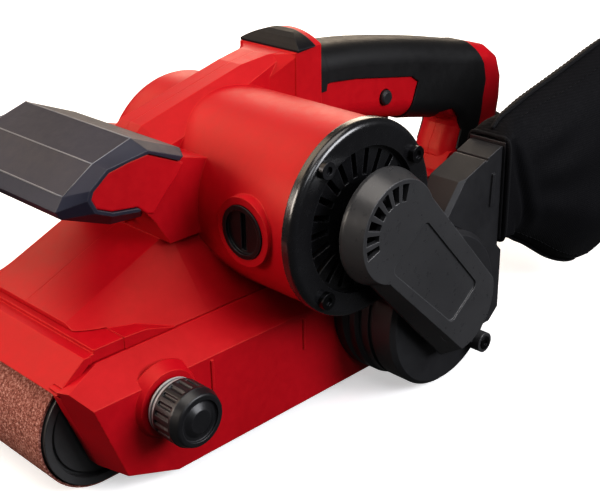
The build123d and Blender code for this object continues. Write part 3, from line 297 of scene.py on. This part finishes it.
# painted sheen: the front grip is a lighter, bluer copy of the soft grip rubber, its raised base colour standing in
# for the satin sheen on its top
M["front_grip"] = plastic("front_grip", (0.0140, 0.0148, 0.0290), (0.0190, 0.0200, 0.0380), rough=(0.46, 0.56), grain=1900,
                          grain_strength=0.25, spec=0.45, edge=(0.085, 0.080, 0.088))
M["drive_cover"] = plastic("drive_cover", (0.041, 0.041, 0.043), (0.052, 0.052, 0.054), rough=(0.26, 0.34), grain=1500,
                           grain_strength=0.16, spec=0.55, edge=(0.12, 0.12, 0.125))
M["motor_flange"] = plastic("motor_flange", (0.008, 0.008, 0.009), (0.013, 0.013, 0.015), rough=(0.22, 0.30), grain=1300,
                            grain_strength=0.08, coat=0.5, coat_rough=0.16, spec=0.6, edge=(0.05, 0.05, 0.055))
M["motor_end_cover"] = M["motor_flange"]
M["thumb_pad"] = plastic("thumb_pad", (0.004, 0.004, 0.006), (0.006, 0.006, 0.009), rough=(0.42, 0.52), grain=1700,
                         grain_strength=0.15, spec=0.22, edge=(0.04, 0.04, 0.045))
M["brush_caps"] = plastic("brush_caps", (0.003, 0.003, 0.004), (0.006, 0.006, 0.007), rough=(0.30, 0.40), grain=1200,
                          grain_strength=0.08, spec=0.35, edge=(0.05, 0.05, 0.055))
M["drum_rubber"] = plastic("drum_rubber", (0.008, 0.008, 0.008), (0.014, 0.014, 0.014), rough=(0.7, 0.85), grain=1200,
                           grain_strength=0.3, spec=0.3)
M["abrasive_cloth"] = abrasive("abrasive_cloth")
M["bag_cloth"] = cloth("bag_cloth")
M["bag_trim"] = cloth("bag_trim", (0.008, 0.008, 0.009), (0.017, 0.017, 0.019))
M["slide_pad"] = plastic("slide_pad", (0.03, 0.03, 0.032), (0.05, 0.05, 0.052), rough=(0.5, 0.7), grain=900, grain_strength=0.4)
M["steel"] = metal("steel", (0.45, 0.46, 0.47), (0.60, 0.61, 0.62))
M["black_steel"] = metal("black_steel", (0.035, 0.035, 0.038), (0.06, 0.06, 0.064), rough=(0.28, 0.4), scale=900)
M["cast_alloy"] = metal("cast_alloy", (0.50, 0.51, 0.52), (0.62, 0.63, 0.64), rough=(0.42, 0.58), scale=900)
M["bronze"] = metal("bronze", (0.50, 0.33, 0.14), (0.62, 0.43, 0.2))
M["copper"] = metal("copper", (0.55, 0.22, 0.10), (0.70, 0.32, 0.16), stretch=(1, 8, 1), scale=600)
M["carbon"] = plastic("carbon", (0.02, 0.02, 0.02), (0.035, 0.035, 0.035), rough=(0.55, 0.7))

slot_of = {s["node"]: s["material_slot"] for s in frame["record"]["subparts"]}


def shade(obj, angle=32):
    me = obj.data
    me.polygons.foreach_set("use_smooth", [True] * len(me.polygons))
    me.set_sharp_from_angle(angle=radians(angle))
    me.update()


def dress(obj, mat):
    obj.data.materials.clear()
    obj.data.materials.append(mat)


for name, o in nodes.items():
    dress(o, M.get(name, M[slot_of[name]]))


# ---------------------------------------------------------------------------
# dust bag: a sewn cloth shell, two panels meeting in a piped seam
# ---------------------------------------------------------------------------
SEAM_TOP = [(111.9, 93.2), (116, 96.6), (120, 98.9), (131, 101.8), (143, 104.4), (166, 108.7), (181, 112.3), (197, 116.2), (215, 119.8),
            (235, 122.0), (252, 122.6), (267.8, 122.2)]
SEAM_LOW = [(111.9, 47.6), (120, 46.6), (130, 42.6), (137, 38.5), (143.5, 34.9), (154, 28.0), (165, 20.9), (178.5, 14.2), (187, 11.4),
            (190.5, 11.0), (196, 13.0), (214, 17.8), (232, 25.0), (250, 33.4), (267.8, 42.0)]
# half widths on the near (-Y) and far (+Y) side along the bag
SIDE_NEAR = [(111.9, 10.3), (118, 10.6), (122, 11.2), (127, 12.4), (136, 15.2), (150, 18.2), (170, 20.2), (192, 20.6), (214, 19.0),
             (238, 14.6), (256, 8.0), (267.8, 2.2)]
SIDE_FAR = [(111.9, 10.3), (120, 11.2), (130, 13.6), (145, 17.0), (165, 19.6), (190, 20.6), (214, 19.4), (238, 15.0), (256, 8.2), (267.8, 2.2)]
MID_Y = [(111.9, -68.0), (122, -68.0), (150, -66.6), (170, -66.0), (267.8, -66.0)]


def along(table, x):
    n = len(table)
    if x <= table[0][0]:
        return table[0][1]
    if x >= table[-1][0]:
        return table[-1][1]
    k = max(i for i in range(n) if table[i][0] <= x)
    x0, y0 = table[k]
    x1, y1 = table[k + 1]
    h = x1 - x0

    def slope(i):
        if i == 0:
            return (table[1][1] - table[0][1]) / (table[1][0] - table[0][0])
        if i == n - 1:
            return (table[-1][1] - table[-2][1]) / (table[-1][0] - table[-2][0])
        a = (table[i][1] - table[i - 1][1]) / (table[i][0] - table[i - 1][0])
        b = (table[i + 1][1] - table[i][1]) / (table[i + 1][0] - table[i][0])
        return 0.0 if a * b <= 0 else 2 * a * b / (a + b)

    m0, m1 = slope(k), slope(k + 1)
    t = (x - x0) / h
    return ((2 * t ** 3 - 3 * t ** 2 + 1) * y0 + (t ** 3 - 2 * t ** 2 + t) * h * m0
            + (-2 * t ** 3 + 3 * t ** 2) * y1 + (t ** 3 - t ** 2) * h * m1)


def smooth(a, b, x):
    t = max(0.0, min(1.0, (x - a) / (b - a)))
    return t * t * (3 - 2 * t)


def bag_point(x, side, w):
    """Point of one panel. w runs 0 at the low seam to 1 at the top seam; side -1 is the near panel."""
    top, low = along(SEAM_TOP, x), along(SEAM_LOW, x)
    z = low + (top - low) * w
    half = along(SIDE_NEAR if side < 0 else SIDE_FAR, x)
    t = 2 * w - 1
    boxy = smooth(128, 113, x)
    flat = (1 - abs(t) ** 3.2) ** 0.72
    square = (1 - abs(t) ** 14) ** 0.5
    y = half * (flat * (1 - boxy) + square * boxy)
    # crease where the cloth leaves the collar, leaning back towards the bottom
    if side < 0:
        fold = x - (115.5 + (90 - z) * 0.34)
        reach = smooth(44, 56, z) * smooth(97, 88, z)
        y -= 1.5 * reach * (2.718 ** (-(fold / 1.6) ** 2))
        y += 1.1 * reach * (2.718 ** (-((fold - 4.5) / 3.0) ** 2))
    # folds running out from the mouth and soft dents in the slack lower part
    body = smooth(120, 150, x) * smooth(268, 240, x) * (1 - abs(t) ** 4)
    a = atan2(z - 70.0, x - 96.0)
    fade = smooth(215, 135, x)
    y += 0.9 * body * fade * sin(a * 17 + (0.6 if side < 0 else 2.1)) * smooth(118, 140, x)
    y += 1.6 * body * noise.noise(Vector((x * 0.021 + 3.1 * side, z * 0.027, 4.7 + side)))
    y += 0.55 * body * noise.noise(Vector((x * 0.07, z * 0.06 + 2.2 * side, 9.1)))
    y = max(y, 9.75 if x < 121.6 and 47.5 < z < 93.2 and abs(t) < 0.93 else 0.0)
    return Vector((x, along(MID_Y, x) + side * y, z))


def mesh_object(name, bm, mat):
    me = bpy.data.meshes.new(name)
    bm.normal_update()
    bm.to_mesh(me)
    bm.free()
    o = bpy.data.objects.new(name, me)
    scene.collection.objects.link(o)
    me.materials.append(mat)
    me.polygons.foreach_set("use_smooth", [True] * len(me.polygons))
    return o


def bag_stations():
    xs = [111.9 + 0.75 * i for i in range(22)]
    while xs[-1] < 266.0:
        xs.append(xs[-1] + 1.9)
    xs.append(267.8)
    return xs


def make_bag():
    xs = bag_stations()
    rows = 46
    ws = [0.5 - 0.5 * cos(pi * (0.06 + 0.88 * i / rows)) for i in range(rows + 1)]
    ws = [(w - ws[0]) / (ws[-1] - ws[0]) for w in ws]
    ring = [(-1, w) for w in ws] + [(1, w) for w in reversed(ws[1:-1])]
    bm = bmesh.new()
    grid = [[bm.verts.new(bag_point(x, side, w) * MM) for side, w in ring] for x in xs]
    n = len(ring)
    for i in range(len(xs) - 1):
        for j in range(n):
            k = (j + 1) % n
            bm.faces.new((grid[i][j], grid[i + 1][j], grid[i + 1][k], grid[i][k]))
    bm.faces.new(list(reversed(grid[-1])))
    bmesh.ops.recalc_face_normals(bm, faces=bm.faces)
    o = mesh_object("dust_bag_cloth", bm, M["bag_cloth"])
    thick = o.modifiers.new("cloth_thickness", "SOLIDIFY")
    thick.thickness = 0.0005
    thick.offset = -1.0
    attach(o, "bag")
    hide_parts("dust_bag")
    return o


def tube(bm, path, radius, sides=8, closed=False):
    rings = []
    n = len(path)
    for i, p in enumerate(path):
        a = path[(i - 1) % n if closed else max(i - 1, 0)]
        b = path[(i + 1) % n if closed else min(i + 1, n - 1)]
        d = (b - a).normalized()
        ref = Vector((0, 1, 0)) if abs(d.y) < 0.9 else Vector((0, 0, 1))
        u = d.cross(ref).normalized()
        v = d.cross(u)
        rings.append([bm.verts.new(p + (u * cos(2 * pi * k / sides) + v * sin(2 * pi * k / sides)) * radius) for k in range(sides)])
    for i in range(n if closed else n - 1):
        r0, r1 = rings[i], rings[(i + 1) % n]
        for k in range(sides):
            bm.faces.new((r0[k], r0[(k + 1) % sides], r1[(k + 1) % sides], r1[k]))
    if not closed:
        bm.faces.new(list(reversed(rings[0])))
        bm.faces.new(rings[-1])


def make_bag_trim():
    xs = [x for x in bag_stations() if x > 113.5]
    bm = bmesh.new()
    # piping along the two long seams
    for w, lift in ((1.0, 0.35), (0.0, -0.35)):
        tube(bm, [(bag_point(x, -1, w) + Vector((0, 0, lift))) * MM for x in xs], 0.0010)
    # gathered hem round the mouth
    hem = []
    for k in range(96):
        t = 2 * pi * k / 96
        c, q = cos(t), sin(t)
        e = 0.22
        hem.append(Vector((112.9, -68.0 + 10.5 * (abs(c) ** e) * (1 if c > 0 else -1), 70.4 + 22.8 * (abs(q) ** e) * (1 if q > 0 else -1))) * MM)
    tube(bm, hem, 0.0009, 8, True)
    bmesh.ops.recalc_face_normals(bm, faces=bm.faces)
    o = mesh_object("dust_bag_piping", bm, M["bag_trim"])
    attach(o, "bag")
    # double row of stitches beside each seam
    bm = bmesh.new()
    for side in (-1, 1):
        for w0 in (0.045, 0.955):
            x = 127.0
            while x < 258.0:
                a, b = bag_point(x, side, w0), bag_point(x + 2.0, side, w0)
                out = Vector((0, side * 0.10, 0))
                tube(bm, [(a - out * 0.6) * MM, (a * 0.75 + b * 0.25 + out) * MM, (a * 0.25 + b * 0.75 + out) * MM, (b - out * 0.6) * MM], 0.00022, 6)
                x += 3.1
    bmesh.ops.recalc_face_normals(bm, faces=bm.faces)
    o = mesh_object("dust_bag_stitches", bm, M["bag_trim"])
    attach(o, "bag")


make_bag()
make_bag_trim()


# ---------------------------------------------------------------------------
# tension spring: a steel coil mesh that takes the place of the tension_spring part
# ---------------------------------------------------------------------------
def make_spring():
    turns, length, start, r, wire = 32.6 / 4.2, 32.6, -14.6, 5.0, 0.8
    steps, sides = int(turns * 24), 10
    bm = bmesh.new()
    rings = []
    for i in range(steps + 1):
        a = 2 * pi * turns * i / steps
        out = Vector((0, cos(a), sin(a)))
        run = Vector((4.2 / (2 * pi), -r * sin(a), r * cos(a))).normalized()
        across = run.cross(out)
        mid = Vector((start + length * i / steps, 0, 25)) + out * r
        rings.append([bm.verts.new((mid + (out * cos(2 * pi * k / sides) + across * sin(2 * pi * k / sides)) * wire) * MM)
                      for k in range(sides)])
    for r0, r1 in zip(rings, rings[1:]):
        for k in range(sides):
            bm.faces.new((r0[k], r0[(k + 1) % sides], r1[(k + 1) % sides], r1[k]))
    bm.faces.new(list(reversed(rings[0])))
    bm.faces.new(rings[-1])
    bmesh.ops.recalc_face_normals(bm, faces=bm.faces)
    o = mesh_object("tension_coil", bm, M["steel"])
    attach(o, "frame")
    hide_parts("tension_spring")
    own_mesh(o)


make_spring()


# ---------------------------------------------------------------------------
# painted highlights: pale beads along the creases and near both ends of the front grip, standing in for the light
# caught on its rounded edges
# ---------------------------------------------------------------------------
def make_grip_highlight_beads():
    creases = [(-42.9, 121.92), (-59.0, 116.92), (-71.66, 108.86)]
    bm = bmesh.new()
    for x, z in creases:
        tube(bm, [Vector((x, -32.0 + 64.0 * i / 16, z)) * MM for i in range(17)], 0.00030, 8)
    for y in (-32.0, 32.0):
        tube(bm, [Vector((x, y, z)) * MM for x, z in creases], 0.00022, 8)
    bmesh.ops.recalc_face_normals(bm, faces=bm.faces)
    o = mesh_object("front_grip_highlight_beads", bm, M["grip_highlight_beads"])
    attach(o, "frame")


make_grip_highlight_beads()


# ---------------------------------------------------------------------------
# floor and light
# ---------------------------------------------------------------------------
def make_stage():
    me = bpy.data.meshes.new("floor")
    bm = bmesh.new()
    bmesh.ops.create_grid(bm, x_segments=1, y_segments=1, size=6)
    bm.to_mesh(me)
    bm.free()
    floor = bpy.data.objects.new("floor", me)
    floor.location = (0, 0, -0.0002)
    scene.collection.objects.link(floor)
    m, nt, b, tc = new_mat("floor_paper")
    n = noise_node(nt, tc.outputs["Object"], 30, 3)
    nt.links.new(ramp(nt, n, [(0.3, (0.93, 0.93, 0.93)), (0.7, (0.96, 0.96, 0.96))]), b.inputs["Base Color"])
    b.inputs["Roughness"].default_value = 0.9
    b.inputs["Specular IOR Level"].default_value = 0.1
    dress(floor, m)
    b.inputs["Emission Color"].default_value = (1, 1, 1, 1)
    reach = nt.nodes.new("ShaderNodeVectorMath")
    reach.operation = "LENGTH"
    nt.links.new(tc.outputs["Object"], reach.inputs[0])
    fade = nt.nodes.new("ShaderNodeMapRange")
    fade.inputs["From Min"].default_value = 0.5
    fade.inputs["From Max"].default_value = 1.3
    fade.inputs["To Min"].default_value = 0.42
    fade.inputs["To Max"].default_value = 1.0
    nt.links.new(reach.outputs["Value"], fade.inputs["Value"])
    nt.links.new(fade.outputs["Result"], b.inputs["Emission Strength"])
    floor.visible_diffuse = False
    floor.visible_glossy = False

    w = bpy.data.worlds.new("studio")
    scene.world = w
    w.use_nodes = True
    nt = w.node_tree
    bg = nt.nodes["Background"]
    lp = nt.nodes.new("ShaderNodeLightPath")
    mix = nt.nodes.new("ShaderNodeMapRange")
    mix.inputs["To Min"].default_value = 0.045
    mix.inputs["To Max"].default_value = 1.0
    nt.links.new(lp.outputs["Is Camera Ray"], mix.inputs["Value"])
    nt.links.new(mix.outputs["Result"], bg.inputs["Strength"])
    bg.inputs["Color"].default_value = (1, 1, 1, 1)

    def area(name, loc, target, size, power, color=(1, 1, 1)):
        d = bpy.data.lights.new(name, "AREA")
        d.shape = "RECTANGLE"
        d.size, d.size_y = size
        d.energy = power
        d.color = color
        o = bpy.data.objects.new(name, d)
        o.location = loc
        o.rotation_euler = (Vector(target) - Vector(loc)).to_track_quat("-Z", "Y").to_euler()
        scene.collection.objects.link(o)

    area("top_light", (-0.05, -0.12, 1.10), (0.0, -0.02, 0.06), (0.9, 0.8), 6.2, (1.0, 0.94, 0.88))
    area("back_light", (-0.18, 0.85, 0.85), (0.0, 0.0, 0.07), (0.9, 0.6), 4.2, (1.0, 0.80, 0.60))
    area("left_light", (-0.88, 0.40, 0.46), (-0.04, 0, 0.06), (0.5, 0.4), 7.0, (1.0, 0.90, 0.80))
    area("front_light", (0.40, -1.00, 0.56), (0.05, 0, 0.05), (0.7, 0.5), 11.0, (0.95, 0.96, 1.0))
    area("rear_light", (0.80, 0.72, 0.50), (0.10, 0.02, 0.06), (0.6, 0.5), 3.6, (1.0, 0.84, 0.66))
    area("card_light", (-0.40, -0.80, 0.80), (0.02, -0.08, 0.09), (0.34, 0.30), 1.7, (0.94, 0.96, 1.0))


make_stage()
scene.view_settings.view_transform = "Standard"
scene.view_settings.look = "Medium High Contrast"

for o in nodes.values():
    shade(o)
